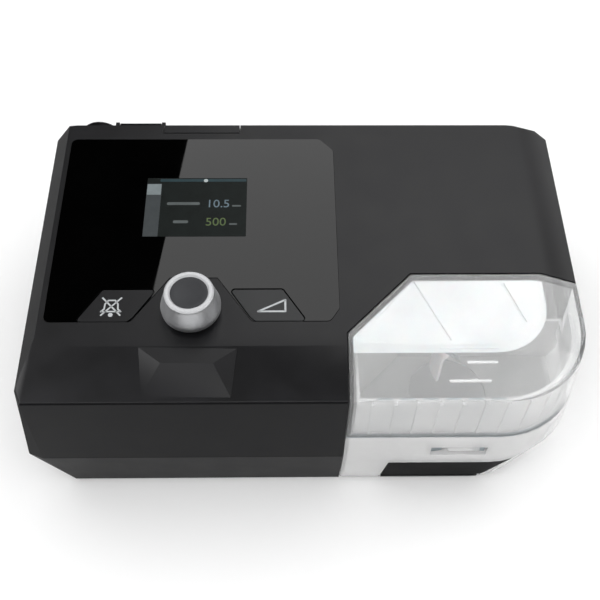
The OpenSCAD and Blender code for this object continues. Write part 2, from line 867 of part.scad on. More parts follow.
module latch_bar() {
    arm_w = 5;
    color("#141416") difference() {
        union() {
            intersection() {
                form();
                translate([0, latch_deep, 0]) rotate([90, 0, 0]) linear_extrude(latch_deep + 5)
                    polygon([[latch_end(-1, latch_base_z), latch_base_z], [latch_left, platform_z],
                        [latch_right, platform_z], [latch_end(1, latch_base_z), latch_base_z]]);
            }
            for (s = [-1, 1]) slab(latch_arm_x(s) - arm_w/2, latch_arm_x(s) + arm_w/2, latch_deep - 1,
                latch_pivot_y, latch_arm_z, latch_arm_z + latch_arm_t);
            for (s = [-1, 1]) bar_x(latch_arm_x(s) - arm_w/2, latch_arm_x(s) + arm_w/2,
                latch_pivot_y, latch_pivot_z, 2.4);
        }
        bar_x(latch_left, latch_right, latch_pivot_y, latch_pivot_z, latch_pin_r + 0.05);
    }
}

module latch_pin() {
    color("silver") for (s = [-1, 1])
        bar_x(latch_arm_x(s) - 5, latch_arm_x(s) + 5, latch_pivot_y, latch_pivot_z, latch_pin_r);
}

module latch_spring() {
    color("silver") for (s = [-1, 1])
        tube(latch_arm_x(s), latch_deep + 8, sill_z, latch_arm_z, 2.2, 1.6);
}

// ---- blower ----

module blower_volute() {
    z1 = blower_z + blower_h - 3;
    color("#3c3f44") difference() {
        union() {
            post(blower_x, blower_y, blower_z, z1, blower_r);
            bar_x(blower_x, blower_x + blower_r + 6, volute_out_y, blower_z + duct_r, duct_r);
            for (s = mount_spots()) post(s[0], s[1], blower_z, blower_z + 3, 5);
            for (a = mount_angles) translate([blower_x, blower_y, blower_z]) rotate([0, 0, a])
                translate([0, -4, 0]) cube([mount_reach, 8, 3]);
        }
        post(blower_x, blower_y, blower_z + 2, far, blower_r - 2);
        bar_x(blower_x + 10, far, volute_out_y, blower_z + duct_r, duct_r - duct_t);
        post(blower_x, blower_y, 0, far, 4);
        for (s = mount_spots()) post(s[0], s[1], 0, far, 2.2);
        slab(-far, far, -far, far, z1, far);
    }
}

module blower_cover() {
    z0 = blower_z + blower_h - 3;
    color("#4a4d52") difference() {
        post(blower_x, blower_y, z0, z0 + 3, blower_r);
        post(blower_x, blower_y, z0 - 1, z0 + 1, blower_r - 2);
        post(blower_x, blower_y, 0, far, 11.6);
    }
}

module impeller() {
    z0 = blower_z + 6;
    hub_r = 8;
    color("#d9dcde") difference() {
        union() {
            post(blower_x, blower_y, z0, z0 + 1.6, impeller_r);
            post(blower_x, blower_y, z0, z0 + 9, hub_r);
            for (i = [0:blade_count - 1]) translate([blower_x, blower_y, z0])
                rotate([0, 0, i*360/blade_count]) translate([hub_r - 1, 0, 0])
                    rotate([0, 0, 24]) cube([impeller_r - hub_r - 1, 1.2, 12]);
        }
        post(blower_x, blower_y, 0, far, 1.98);
    }
}

module motor_stator() {
    color("#7d5a3a") difference() {
        post(blower_x, blower_y, foot_h + wall + 0.3, blower_z - 0.3, 17);
        post(blower_x, blower_y, 0, far, 4.6);
    }
}

module motor_bearings() {
    color("silver") for (z = [foot_h + wall + 1, blower_z - 4])
        tube(blower_x, blower_y, z, z + 2.5, 4.6, 2.03);
}

module motor_shaft() {
    color("silver") post(blower_x, blower_y, foot_h + wall + 0.6, blower_z + 17, 1.98);
}

module blower_mounts() {
    color("#2d2d2f") for (s = mount_spots()) {
        post(s[0], s[1], blower_z - 5, blower_z, 4);
        post(s[0], s[1], blower_z, blower_z + 4, 2.1);
    }
}

module inlet_muffler() {
    color("#e3e1da") difference() {
        union() {
            muffler_body(0);
            tube(blower_x, blower_y, blower_z + blower_h - 2, blower_z + blower_h + 3, 11.3, 9);
        }
        muffler_body(1.6);
        post(blower_x, blower_y, 0, blower_z + blower_h + 6, 9);
        slab(cover_x - filter_w/2 + 2, cover_x + filter_w/2 - 2, case_d - 24, case_d,
            filter_z0 + 6, filter_top - 4);
    }
}

module muffler_body(i) {
    z0 = blower_z + blower_h + 1.5;
    z1 = filter_top + 2;
    slab(blower_x - 11.5 + i, blower_x + 30 - i, blower_y - 20 + i, case_d - 20 - i, z0 + i, z1 - i);
    slab(cover_x - 19 + i, cover_x + 19 - i, case_d - 42 + i, case_d - 20 - i, filter_z0 + i, z1 - i);
}

module muffler_foam() {
    z0 = blower_z + blower_h + 1.5;
    color("#5a5c60") difference() {
        slab(blower_x - 9.5, blower_x + 28, blower_y - 18, case_d - 22, z0 + 10, filter_top);
        slab(-far, far, blower_y + 30, far, 0, z0 + 14);
        post(blower_x, blower_y, 0, z0 + 14, 14);
    }
}

module air_filter() {
    color("#e9e9e4") difference() {
        slab(cover_x - filter_w/2 + 0.6, cover_x + filter_w/2 - 0.6, case_d - 19.6, case_d - 12.6,
            filter_z0 + 8.6, filter_top - 0.6);
        for (i = [0:6]) slab(cover_x - filter_w/2 + 3 + 4.2*i, cover_x - filter_w/2 + 4.4 + 4.2*i,
            case_d - 15, case_d, filter_z0 + 11, filter_top - 3);
    }
}

module filter_cover() {
    x0 = cover_x - cover_w/2;
    x1 = cover_x + cover_w/2;
    color("#26272a") difference() {
        union() {
            intersection() {
                form();
                slab(x0, x1, case_d - 9, case_d + 1, cover_pivot_z(), deck_z + 1);
                difference() {
                    slab(-far, far, 0, far, 0, far);
                    form(cover_t);
                }
            }
            bar_x(x0, x1, cover_pivot_y(), cover_pivot_z(), cover_barrel_r);
        }
        bar_x(x0 - 1, x1 + 1, cover_pivot_y(), cover_pivot_z(), 1.05);
        for (i = [0:8]) slab(x0 + 5, x1 - 5, case_d - 8, case_d + 1,
            filter_z0 + 13 + 4*i, filter_z0 + 15 + 4*i);
    }
}

module filter_cover_pin() {
    color("silver")
        bar_x(cover_x - cover_w/2 - 3.6, cover_x + cover_w/2 + 3.6, cover_pivot_y(), cover_pivot_z(), 1);
}

// ---- ducts ----

module blower_duct() {
    z0 = blower_z + duct_r;
    x0 = blower_x + blower_r + 6;
    color("#8d9298") difference() {
        duct_run(x0, z0, duct_r);
        duct_run(x0 - 1, z0, duct_r - duct_t);
    }
}

module duct_run(x0, z0, r) {
    end = r < duct_r ? bay_d : bay_d + wall + 1;
    bar_x(x0, inlet_x, volute_out_y, z0, r);
    translate([inlet_x, volute_out_y, z0]) sphere(r = r);
    post(inlet_x, volute_out_y, z0, port_z, r);
    translate([inlet_x, volute_out_y, port_z]) sphere(r = r);
    bar_y(inlet_x, end, volute_out_y, port_z, r);
}

module return_run(r, ext) {
    bar_y(return_x, bay_d + wall + 1 - ext, duct_y, port_z, r);
    translate([return_x, duct_y, port_z]) sphere(r = r);
    bar_x(outlet_x, return_x, duct_y, port_z, r);
    translate([outlet_x, duct_y, port_z]) sphere(r = r);
    bar_y(outlet_x, duct_y, outlet_start_y + ext, port_z, r);
}

module return_duct() {
    color("#8d9298") difference() {
        union() {
            return_run(duct_r, 0);
            for (s = [-6, 6]) post(barb_x() + s, duct_y, port_z, port_z + duct_r + 4, 1.5);
        }
        return_run(duct_r - duct_t, 2);
        for (s = [-6, 6]) post(barb_x() + s, duct_y, port_z, far, 0.7);
    }
}

function barb_x() = 60;

module air_outlet() {
    color("#2a2b2e") difference() {
        union() {
            bar_y(outlet_x, outlet_start_y, case_d + outlet_reach, port_z, outlet_r);
            bar_y(outlet_x, outlet_start_y, case_d + 0.5, port_z, outlet_r + outlet_root);
            bar_y(outlet_x, outlet_start_y, outlet_start_y + 3, port_z, outlet_r + 2);
        }
        bar_y(outlet_x, outlet_start_y - 1, case_d + outlet_reach + 1, port_z, outlet_r - 2);
    }
}

module port_seals() {
    color("#6d7479") for (x = [inlet_x, return_x]) difference() {
        union() {
            bar_y(x, bay_d - seam_gap + touch, bay_d, port_z, port_r + 4);
            bar_y(x, bay_d, bay_d + wall + 0.6, port_z, port_r + 2.2);
        }
        bar_y(x, 0, far, port_z, port_r);
    }
}

module sensor_board() {
    z0 = port_z + duct_r + 9;
    color("#1d4f6a") {
        slab(barb_x() - 12, barb_x() + 12, duct_y - 24, duct_y - 10, z0 - 6, z0 - 4.6);
        slab(barb_x() - 5, barb_x() + 5, duct_y - 22, duct_y - 14, z0 - 4.6, z0 - 0.6);
        for (s = [-6, 6]) bar_y(barb_x() + s/2, duct_y - 14, duct_y - 11, z0 - 2.6, 1.2);
    }
}

module sensing_tube() {
    z0 = port_z + duct_r + 1;
    color("#e8eef0") for (s = [-6, 6]) difference() {
        union() {
            post(barb_x() + s, duct_y, z0, z0 + 5.4, 2.3);
            translate([barb_x() + s, duct_y, z0 + 5.4]) sphere(r = 2.3);
            bar_y(barb_x() + s, duct_y - 9.5, duct_y, z0 + 5.4, 2.3);
        }
        post(barb_x() + s, duct_y, 0, z0 + 5.4, 1.55);
        bar_y(barb_x() + s, 0, duct_y, z0 + 5.4, 1.3);
    }
}

module power_board() {
    x0 = bay_left + 5.6;
    y0 = case_d - 82;
    z0 = foot_h + wall + 4;
    color("#23613b") {
        slab(x0, x0 + 38, y0, y0 + 72, z0, z0 + 1.6);
        for (x = [8, 26]) for (y = [8, 64]) post(x0 + x, y0 + y, foot_h + wall, z0, 2.5);
    }
    color("#303338") {
        for (x = [12, 26]) post(x0 + x, y0 + 54, z0 + 1.6, z0 + 20, 6);
        slab(x0 + 4, x0 + 22, y0 + 28, y0 + 44, z0 + 1.6, z0 + 10);
    }
}

module dc_inlet() {
    color("#1a1b1d") difference() {
        union() {
            bar_y(jack_x(), case_d - 14, case_d - 0.4, jack_z(), 5);
            slab(jack_x() - 6, jack_x() + 6, case_d - 16, case_d - wall - 0.3, jack_z() - 6, jack_z() + 6);
        }
        bar_y(jack_x(), case_d - 10, case_d + 1, jack_z(), 2.85);
    }
}

module dc_pin() {
    color("silver") bar_y(jack_x(), case_d - 10, case_d - 2, jack_z(), 1.05);
}

module port_cover() {
    x0 = port_cover_x - port_cover_w/2;
    z0 = port_cover_z0();
    z1 = port_cover_z1();
    color("#1f2022") difference() {
        translate([x0, 0, 0]) rotate([90, 0, 90]) linear_extrude(port_cover_w)
            polygon([[case_d - 0.8, z0], [case_d + 3, z0], [case_d + 4.6, z0 + 3], [case_d + 4.6, z1 - 4],
                [case_d + 3.2, z1 - 0.6], [case_d + 0.8, z1], [case_d - 0.4, z1 - 1.2],
                [case_d - 0.8, z1 - 4]]);
        bar_x(x0 - 1, x0 + port_cover_w + 1, port_pivot_y(), port_pivot_z(), 0.8);
        slab(x0 + 4, x0 + port_cover_w - 4, case_d - 2, case_d + 2.6, z0 + 3, z1 - 7);
    }
}

module port_cover_pin() {
    color("silver") bar_x(port_cover_x - port_cover_w/2 - 2.2, port_cover_x + port_cover_w/2 + 2.2,
        port_pivot_y(), port_pivot_z(), 0.75);
}

module memory_card() {
    color("#26303f") slab(port_cover_x - card_w/2, port_cover_x + card_w/2, case_d - 31, case_d + 1,
        card_z(), card_z() + 2.1);
}

module card_socket() {
    x0 = port_cover_x - card_w/2 - 2;
    x1 = port_cover_x + card_w/2 + 2;
    color("#b8bcc0") difference() {
        slab(x0, x1, case_d - 33, case_d - wall - 0.3, card_z() - 1.2, card_z() + 3.4);
        slab(x0 + 1.8, x1 - 1.8, case_d - 31.3, case_d, card_z() - 0.2, card_z() + 2.3);
    }
}

// ---- the whole machine, origin under the middle of its bounding box ----

module placed() {
    translate([0, -overall_d/2, 0]) children();
}

placed() top_case();
placed() bottom_case();
placed() bay_liner();
placed() chamber_platform();
placed() dc_pin();
placed() control_panel();
placed() display_module();
placed() display_frame();
placed() main_board();
placed() board_screws();
placed() push_switches();
placed() buzzer();
placed() encoder_body();
placed() encoder_rotor();
placed() encoder_shaft();
placed() knob_body();
placed() knob_insert();
placed() mute_button();
placed() ramp_button();
placed() chamber_tub();
placed() chamber_lid();
placed() chamber_baffle();
placed() chamber_gasket();
placed() tub_plate();
placed() heater_plate();
placed() heating_film();
placed() heater_springs();
placed() heater_holder();
placed() latch_bar();
placed() latch_pin();
placed() latch_spring();
placed() blower_volute();
placed() blower_cover();
placed() impeller();
placed() motor_stator();
placed() motor_shaft();
placed() motor_bearings();
placed() blower_mounts();
placed() inlet_muffler();
placed() muffler_foam();
placed() air_filter();
placed() filter_cover();
placed() filter_cover_pin();
placed() blower_duct();
placed() port_seals();
placed() return_duct();
placed() air_outlet();
placed() sensor_board();
placed() sensing_tube();
placed() power_board();
placed() dc_inlet();
placed() port_cover();
placed() port_cover_pin();
placed() memory_card();
placed() card_socket();
placed() rubber_feet();
placed() case_screws();
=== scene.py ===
# A bedside breathing-therapy machine with a slide-out humidifier, dressed around its packed construction.
import json
import math

import bmesh
import bpy
from mathutils import Matrix, Vector


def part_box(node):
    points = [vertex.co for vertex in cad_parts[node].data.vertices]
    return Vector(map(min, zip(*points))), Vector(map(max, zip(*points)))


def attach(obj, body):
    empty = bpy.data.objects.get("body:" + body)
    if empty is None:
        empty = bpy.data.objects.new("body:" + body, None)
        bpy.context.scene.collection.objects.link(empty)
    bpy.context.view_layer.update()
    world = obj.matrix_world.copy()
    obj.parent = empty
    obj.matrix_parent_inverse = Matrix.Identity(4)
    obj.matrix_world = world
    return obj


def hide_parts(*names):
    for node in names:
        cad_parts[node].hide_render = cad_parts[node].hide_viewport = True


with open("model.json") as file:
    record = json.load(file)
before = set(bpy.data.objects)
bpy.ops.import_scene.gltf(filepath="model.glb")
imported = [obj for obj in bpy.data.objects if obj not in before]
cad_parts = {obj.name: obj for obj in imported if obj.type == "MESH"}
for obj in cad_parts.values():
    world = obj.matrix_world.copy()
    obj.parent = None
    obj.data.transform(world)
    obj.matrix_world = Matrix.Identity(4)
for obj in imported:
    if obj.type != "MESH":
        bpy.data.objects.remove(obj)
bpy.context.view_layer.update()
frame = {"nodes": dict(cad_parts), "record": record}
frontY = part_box("bottom_case")[0].y  # the front wall; depths are measured back from it
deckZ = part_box("chamber_lid")[1].z * 1000  # the flat top, in millimetres
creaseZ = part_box("top_case")[0].z * 1000  # where the two case halves meet
frontBevel = {"drop": 8.3, "deep": 25.2}  # the slope along the front of the deck
beltZ = deckZ - frontBevel["drop"]  # where the bevels meet the side walls


def place(x, y, z):
    # millimetres across, back from the front wall, and up from the table
    return Vector((x / 1000, frontY + y / 1000, z / 1000))


def across(vector):
    # the other way round: a point of the mesh in those millimetres
    return vector.x * 1000, (vector.y - frontY) * 1000, vector.z * 1000


def deselectAll():
    if bpy.context.mode != "OBJECT":
        bpy.ops.object.mode_set(mode="OBJECT")
    bpy.ops.object.select_all(action="DESELECT")


def only(piece):
    deselectAll()
    piece.select_set(True)
    bpy.context.view_layer.objects.active = piece


def named(name):
    piece = bpy.context.active_object
    piece.name = name
    piece.data.name = name
    return piece


def loft(name, rings):
    # a disc set on the first ring, then extruded and set on each next one
    deselectAll()
    bpy.ops.mesh.primitive_circle_add(vertices=len(rings[0]), radius=0.05, fill_type="NGON")
    piece = named(name)
    for vertex, spot in zip(piece.data.vertices, rings[0]):
        vertex.co = spot
    bpy.ops.object.mode_set(mode="EDIT")
    bpy.ops.mesh.select_all(action="SELECT")
    for low, high in zip(rings, rings[1:]):
        bpy.ops.mesh.extrude_region_move()
        mesh = bmesh.from_edit_mesh(piece.data)
        for vertex in [v for v in mesh.verts if v.select]:
            nearest = min(range(len(low)), key=lambda k: (low[k] - vertex.co).length_squared)
            vertex.co = high[nearest]
        bmesh.update_edit_mesh(piece.data)
    bpy.ops.mesh.select_all(action="SELECT")
    bpy.ops.mesh.normals_make_consistent(inside=False)
    bpy.ops.object.mode_set(mode="OBJECT")
    return piece


def prism(name, outline, low, high):
    return loft(name, [[place(x, y, z) for x, y in outline] for z in (low, high)])


def block(name, x0, x1, y0, y1, z0, z1):
    return prism(name, [(x0, y0), (x1, y0), (x1, y1), (x0, y1)], z0, z1)


def turned(name, x, y, profile, steps):
    # a lathe profile of (radius, height) pairs about an upright line
    angles = [2 * math.pi * k / steps for k in range(steps)]
    return loft(name, [[place(x + r * math.cos(a), y + r * math.sin(a), z) for a in angles]
                       for r, z in profile])


def cut(piece, tool):
    # takes the tool's shape out of the piece, and the tool away
    only(piece)
    change = piece.modifiers.new("cut", "BOOLEAN")
    change.operation = "DIFFERENCE"
    change.solver = "EXACT"
    change.object = tool
    bpy.ops.object.modifier_apply(modifier=change.name)
    bpy.data.objects.remove(tool)


def joined(name, pieces):
    # separate solids as one object
    deselectAll()
    for piece in pieces:
        piece.select_set(True)
    bpy.context.view_layer.objects.active = pieces[0]
    bpy.ops.object.join()
    return named(name)


def bevelEdges(piece, width, sharper, segments=2, test=None):
    # rounds the edges that turn by more than a number of degrees, and that the test takes
    only(piece)
    bpy.ops.object.mode_set(mode="EDIT")
    bpy.ops.mesh.select_mode(type="EDGE")
    bpy.ops.mesh.select_all(action="DESELECT")
    mesh = bmesh.from_edit_mesh(piece.data)
    for edge in mesh.edges:
        turns = edge.is_manifold and edge.calc_face_angle(0) > math.radians(sharper)
        if turns and (test is None or test(across(edge.verts[0].co), across(edge.verts[1].co))):
            edge.select = True
    mesh.select_flush_mode()
    bmesh.update_edit_mesh(piece.data)
    bpy.ops.mesh.bevel(offset=width / 1000, segments=segments, affect="EDGES", clamp_overlap=True)
    bpy.ops.object.mode_set(mode="OBJECT")


def smooth(piece, angle=30):
    # smooth shading that keeps the flats flat
    only(piece)
    bpy.ops.object.shade_smooth_by_angle(angle=math.radians(angle))
    weighted = piece.modifiers.new("WeightedNormal", "WEIGHTED_NORMAL")
    weighted.keep_sharp = True
    bpy.ops.object.modifier_apply(modifier=weighted.name)
    return piece


def mergedCopy(node, name):
    # the construction's own form, its loose triangles merged into whole faces
    piece = bpy.data.objects.new(name, frame["nodes"][node].data.copy())
    piece.data.name = name
    bpy.context.scene.collection.objects.link(piece)
    piece.data.materials.clear()
    only(piece)
    bpy.ops.object.mode_set(mode="EDIT")
    bpy.ops.mesh.select_all(action="SELECT")
    bpy.ops.mesh.customdata_custom_splitnormals_clear()
    bpy.ops.mesh.remove_doubles(threshold=0.00002)
    bpy.ops.mesh.dissolve_limited(angle_limit=math.radians(0.4))
    bpy.ops.object.mode_set(mode="OBJECT")
    return piece


def toLinear(code):
    # an sRGB hex colour as the linear values that a shader takes
    parts = [int(code[k:k + 2], 16) / 255 for k in (1, 3, 5)]
    return tuple([p / 12.92 if p <= 0.04045 else ((p + 0.055) / 1.055) ** 2.4 for p in parts] + [1.0])


def addNode(tree, kind, settings=None, inputs=None):
    node = tree.nodes.new(kind)
    for key, value in (settings or {}).items():
        setattr(node, key, value)
    for key, value in (inputs or {}).items():
        if isinstance(value, bpy.types.NodeSocket):
            tree.links.new(value, node.inputs[key])
        else:
            node.inputs[key].default_value = value
    return node


def newMaterial(name):
    material = bpy.data.materials.new(name)
    material.use_nodes = True
    tree = material.node_tree
    tree.nodes.clear()
    shader = addNode(tree, "ShaderNodeBsdfPrincipled")
    addNode(tree, "ShaderNodeOutputMaterial", inputs={"Surface": shader.outputs["BSDF"]})
    coordinates = addNode(tree, "ShaderNodeTexCoord").outputs["Object"]
    return material, tree, shader, coordinates


def grainOf(tree, coordinates, grainMm, detail=3.0):
    # noise whose features are as wide as a number of millimetres
    return addNode(tree, "ShaderNodeTexNoise", inputs={
        "Vector": coordinates, "Scale": 1000 / grainMm, "Detail": detail, "Roughness": 0.6}).outputs["Fac"]


def ramp(tree, factor, low, high):
    # two colours spread over a pattern
    node = addNode(tree, "ShaderNodeValToRGB", inputs={"Fac": factor})
    node.color_ramp.elements[0].position = 0.3
    node.color_ramp.elements[0].color = toLinear(low)
    node.color_ramp.elements[1].position = 0.7
    node.color_ramp.elements[1].color = toLinear(high)
    return node.outputs["Color"]


def spread(tree, factor, low, high):
    # a pattern's values brought into a range
    return addNode(tree, "ShaderNodeMapRange", inputs={
        "Value": factor, "From Min": 0.3, "From Max": 0.7, "To Min": low, "To Max": high}).outputs["Result"]


def bumped(tree, shader, factor, depthMm):
    # a pattern as a relief of so many millimetres
    bump = addNode(tree, "ShaderNodeBump", inputs={
        "Height": factor, "Distance": depthMm / 1000, "Strength": 1.0})
    tree.links.new(bump.outputs["Normal"], shader.inputs["Normal"])


def moulded(name, dark, light, roughness, grainMm=0.5, depthMm=0.01, specular=0.5, patchMm=18):
    # an injection-moulded plastic: cloudy in tone over its patches, fine in grain
    material, tree, shader, coordinates = newMaterial(name)
    patches = grainOf(tree, coordinates, patchMm)
    grain = grainOf(tree, coordinates, grainMm)
    tree.links.new(ramp(tree, patches, dark, light), shader.inputs["Base Color"])
    tree.links.new(spread(tree, patches, roughness - 0.03, roughness + 0.03), shader.inputs["Roughness"])
    bumped(tree, shader, grain, depthMm)
    shader.inputs["Specular IOR Level"].default_value = specular
    return material


def metal(name, dark, light, roughness, brushMm=0.25, stretch=(1, 1, 1), depthMm=0.004):
    # a bare metal whose fine lines run across the stretched axis
    material, tree, shader, coordinates = newMaterial(name)
    drawn = addNode(tree, "ShaderNodeMapping", inputs={"Vector": coordinates, "Scale": stretch})
    lines = grainOf(tree, drawn.outputs["Vector"], brushMm)
    tree.links.new(ramp(tree, lines, dark, light), shader.inputs["Base Color"])
    tree.links.new(spread(tree, lines, roughness - 0.04, roughness + 0.06), shader.inputs["Roughness"])
    bumped(tree, shader, lines, depthMm)
    shader.inputs["Metallic"].default_value = 1.0
    return material


def blackAbs():
    # spark-eroded black ABS: a soft satin that greys where it faces the light
    return moulded("black_abs_spark_eroded", "#0c0c0d", "#0f0f11", 0.37, grainMm=0.35, depthMm=0.012,
                   specular=0.05)


def blackAcrylic():
    # polished black acrylic: deep black under a clean mirror gloss
    material, tree, shader, coordinates = newMaterial("black_acrylic_polished")
    haze = grainOf(tree, coordinates, 25)
    tree.links.new(ramp(tree, haze, "#010101", "#020202"), shader.inputs["Base Color"])
    tree.links.new(spread(tree, haze, 0.01, 0.02), shader.inputs["Roughness"])
    shader.inputs["Specular IOR Level"].default_value = 0.058
    return material


def displayFilm():
    # anti-glare film over the display: hardly any gloss, so the screen reads darker than the panel
    material, tree, shader, coordinates = newMaterial("display_film_anti_glare")
    haze = grainOf(tree, coordinates, 6)
    tree.links.new(ramp(tree, haze, "#121514", "#161a19"), shader.inputs["Base Color"])
    tree.links.new(spread(tree, haze, 0.28, 0.36), shader.inputs["Roughness"])
    shader.inputs["Specular IOR Level"].default_value = 0.01
    return material


def clearPolycarbonate(name, dark, light, clear, roughness):
    # injection-moulded clear polycarbonate: bright edges, and a faint milky flow haze
    material, tree, shader, coordinates = newMaterial(name)
    flow = grainOf(tree, coordinates, 30, detail=4)
    tree.links.new(ramp(tree, flow, dark, light), shader.inputs["Base Color"])
    tree.links.new(spread(tree, flow, roughness, roughness + 0.05), shader.inputs["Roughness"])
    shader.inputs["Transmission Weight"].default_value = clear
    shader.inputs["IOR"].default_value = 1.12  # lower than the bulk's, so that the bright cards don't veil it
    shader.inputs["Specular IOR Level"].default_value = 0.3
    return material


def milkyPolypropylene():
    # natural polypropylene: white, a little see-through, soft to the eye
    material, tree, shader, coordinates = newMaterial("polypropylene_milky")
    flow = grainOf(tree, coordinates, 16)
    tree.links.new(ramp(tree, flow, "#b9bbbc", "#c2c4c5"), shader.inputs["Base Color"])
    tree.links.new(spread(tree, flow, 0.4, 0.5), shader.inputs["Roughness"])
    bumped(tree, shader, grainOf(tree, coordinates, 0.8), 0.01)
    shader.inputs["Specular IOR Level"].default_value = 0.05
    shader.inputs["Subsurface Weight"].default_value = 0.25
    shader.inputs["Subsurface Scale"].default_value = 0.003
    return material


def satinAluminium():
    # turned and bead-blasted aluminium: grey satin skirt, under a rim whose brightness all round is a painted
    # highlight
    rimSheenFrom, rimSheenTo = 14.6, 15.2  # where the skirt turns into the rim, above the deck, and the painted highlight starts
    material, tree, shader, coordinates = newMaterial("aluminium_turned_satin")
    rings = addNode(tree, "ShaderNodeMapping", inputs={"Vector": coordinates, "Scale": (1, 1, 12)})
    lines = grainOf(tree, rings.outputs["Vector"], 1.2)
    height = addNode(tree, "ShaderNodeSeparateXYZ", inputs={"Vector": coordinates}).outputs["Z"]
    # painted highlight: above this height the metal turns non-metal, so the rim's pale colour stands in for
    # its polished edge's reflections
    rimSheenMask = addNode(tree, "ShaderNodeMapRange", inputs={
        "Value": height, "From Min": (deckZ + rimSheenFrom) / 1000, "From Max": (deckZ + rimSheenTo) / 1000,
        "To Min": 1.0, "To Max": 0.0})
    tree.links.new(rimSheenMask.outputs["Result"], shader.inputs["Metallic"])
    tree.links.new(spread(tree, lines, 0.3, 0.4), shader.inputs["Roughness"])
    tree.links.new(ramp(tree, lines, "#b0b1b3", "#bbbcbe"), shader.inputs["Base Color"])
    bumped(tree, shader, lines, 0.004)
    shader.inputs["Specular IOR Level"].default_value = 0.1
    return material


def lit(name, dim, bright):
    # lit dots of the screen: an even glow with the faint unevenness of its backlight
    material, tree, shader, coordinates = newMaterial(name)
    glow = ramp(tree, grainOf(tree, coordinates, 4), dim, bright)
    tree.links.new(glow, shader.inputs["Emission Color"])
    shader.inputs["Base Color"].default_value = toLinear("#000000")
    shader.inputs["Emission Strength"].default_value = 1.0
    shader.inputs["Roughness"].default_value = 0.4
    shader.inputs["Specular IOR Level"].default_value = 0.05
    return material


def ink(name, dim, bright):
    # screen-printed ink: flat and matte, a touch uneven
    return moulded(name, dim, bright, 0.6, grainMm=0.4, depthMm=0.003, specular=0.2, patchMm=3)


def woven(name, dark, light, cellMm, depthMm=0.3):
    # open-cell foam or filter fibre: small cells, matte all over
    material, tree, shader, coordinates = newMaterial(name)
    cells = addNode(tree, "ShaderNodeTexVoronoi", inputs={"Vector": coordinates, "Scale": 1000 / cellMm})
    tree.links.new(ramp(tree, cells.outputs["Distance"], dark, light), shader.inputs["Base Color"])
    bumped(tree, shader, cells.outputs["Distance"], depthMm)
    shader.inputs["Roughness"].default_value = 0.95
    return material


finishes = {
    "case_plastic": blackAbs(),
    # moulded black ABS from a smoother tool: darker than the case
    "black_plastic": moulded("black_abs_satin", "#040405", "#060607", 0.45, specular=0.02),
    "panel_gloss": blackAcrylic(),
    # painted ABS: a grey satin that lifts off the black panel
    "button_plastic": moulded("grey_abs_painted_satin", "#141516", "#18191a", 0.35, grainMm=0.3,
                              depthMm=0.004, specular=0.06),
    "knob_metal": satinAluminium(),
    # soft-touch painted disc: dark, broad soft sheen
    "knob_insert": moulded("soft_touch_paint", "#1e1f22", "#242528", 0.45, grainMm=0.25, depthMm=0.006,
                           specular=0.07),
    "clear_plastic": clearPolycarbonate("polycarbonate_clear_moulded", "#f3f4f4", "#fbfbfb", 0.87, 0.03),
    "white_plastic": milkyPolypropylene(),
    # moulded silicone: matte grey with a slight bloom
    "seal_rubber": moulded("silicone_grey", "#6f777b", "#7d858a", 0.6, specular=0.35, patchMm=8),
    # moulded rubber: dull black
    "dark_rubber": moulded("rubber_black", "#161616", "#1d1d1d", 0.8, specular=0.3, patchMm=6),
    # rolled aluminium plate: straight fine lines
    "plate_metal": metal("aluminium_rolled_plate", "#b4b5b7", "#c4c5c7", 0.3, stretch=(1, 14, 1)),
    # bright drawn steel
    "steel": metal("steel_drawn_bright", "#9c9da0", "#b3b4b7", 0.24, stretch=(1, 1, 8)),
    # polyimide heating film: amber, slightly glossy
    "film": moulded("polyimide_film_amber", "#8a4a12", "#9c5719", 0.3, patchMm=6),
    # glass-filled duct plastic: mid grey, dull
    "duct_plastic": moulded("duct_abs_grey", "#5b6064", "#666b70", 0.5),
    # natural fan plastic: pale grey
    "fan_plastic": moulded("fan_plastic_pale", "#b9bcbe", "#c6c9cb", 0.45),
    # lacquered copper windings under their cap
    "copper": metal("copper_lacquered", "#8a4b28", "#a8623a", 0.35, brushMm=0.4, stretch=(1, 1, 10)),
    "foam": woven("foam_open_cell", "#2b2c2f", "#45464a", 1.2),
    "filter": woven("filter_fibre", "#cfcfca", "#efefea", 0.7, 0.15),
    # solder mask over copper: green, glossy
    "board": moulded("board_solder_mask", "#0d3a1e", "#13502b", 0.3, patchMm=5),
    # the dark liquid-crystal cell
    "display": moulded("display_cell_dark", "#0b1110", "#0e1514", 0.35, specular=0.1),
    # card shell: smooth dark blue plastic
    "card": moulded("card_plastic_blue", "#1a2433", "#212d3f", 0.35),
}
slotOf = {part["node"]: part["material_slot"] for part in frame["record"]["subparts"]}
bodyOf = {node: body for body, nodes in frame["record"]["behaviour"]["bodies"].items() for node in nodes}
for node, piece in frame["nodes"].items():
    piece.data.materials.clear()
    piece.data.materials.append(finishes[slotOf[node]])
print("finishes made")


def addTo(piece, node, material):
    # a piece that stands on a node, moves with it and belongs to its finish
    piece.data.materials.clear()
    piece.data.materials.append(material)
    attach(piece, bodyOf[node])


def finishNode(piece, node, material=None):
    # the same for a piece that takes the node's place
    addTo(piece, node, material or finishes[slotOf[node]])
    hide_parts(node)


caseEase = {"belt": 1.2, "seam": 0.25, "podium": 1.2}  # how far the case's edges are rounded, mm
podium = {"left": -80, "right": -28, "back": 26, "rise": 4}  # where the step under the knob has its edges


def onBelt(a, b):
    # the line where the bevels meet the walls
    return abs(a[2] - beltZ) < 0.6 and abs(b[2] - beltZ) < 0.6


def onSeam(a, b):
    return abs(a[2] - creaseZ) < 0.1 and abs(b[2] - creaseZ) < 0.1


def onPodium(a, b):
    # the rising edges of the podium
    near = all(podium["left"] < p[0] < podium["right"] and p[1] < podium["back"] for p in (a, b))
    return near and min(a[2], b[2]) < beltZ + 2 and abs(a[2] - b[2]) > podium["rise"]


